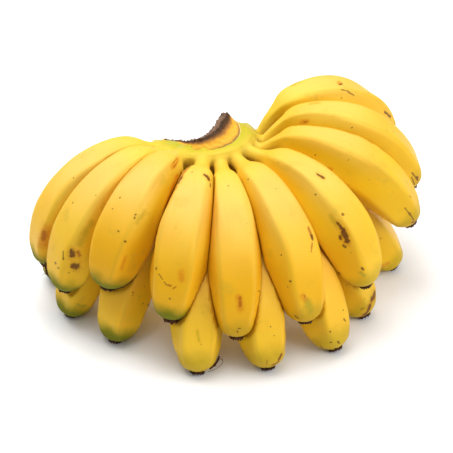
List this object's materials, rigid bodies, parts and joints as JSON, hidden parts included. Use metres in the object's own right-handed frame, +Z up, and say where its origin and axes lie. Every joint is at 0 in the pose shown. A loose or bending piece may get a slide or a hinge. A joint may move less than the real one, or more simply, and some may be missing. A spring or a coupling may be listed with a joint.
{
  "type": "hand of lady-finger bananas",
  "caption": "Whole hand of small ripe bananas in two arched rows, joined by short necks to a curved green pad cut from the stalk; it stands on its lower fingertips.",
  "frame": {"origin": "middle of the hand's outline as seen from above, at the height of the surface that the lower fingertips stand on", "axes": "+Z up; +X to the right of the hand as seen from the front, along its longest side; +Y away from the front, towards the open side of the pad, where the stalk was"},
  "size_m": [0.2544, 0.1959, 0.1203],
  "materials": {
    "ripe_peel": "satin",
    "crown_skin": "satin",
    "dried_flower": "matte"
  },
  "bodies": {
    "root": {"crown": "crown_skin", "finger_upper_01": "ripe_peel", "finger_upper_02": "ripe_peel", "finger_upper_03": "ripe_peel", "finger_upper_04": "ripe_peel", "finger_upper_05": "ripe_peel", "finger_upper_06": "ripe_peel", "finger_upper_07": "ripe_peel", "finger_upper_08": "ripe_peel", "finger_upper_09": "ripe_peel", "finger_upper_10": "ripe_peel", "finger_lower_01": "ripe_peel", "finger_lower_02": "ripe_peel", "finger_lower_03": "ripe_peel", "finger_lower_04": "ripe_peel", "finger_lower_05": "ripe_peel", "finger_lower_06": "ripe_peel", "finger_lower_07": "ripe_peel", "finger_lower_08": "ripe_peel", "finger_lower_09": "ripe_peel", "finger_lower_10": "ripe_peel"}
  },
  "joints": []
}
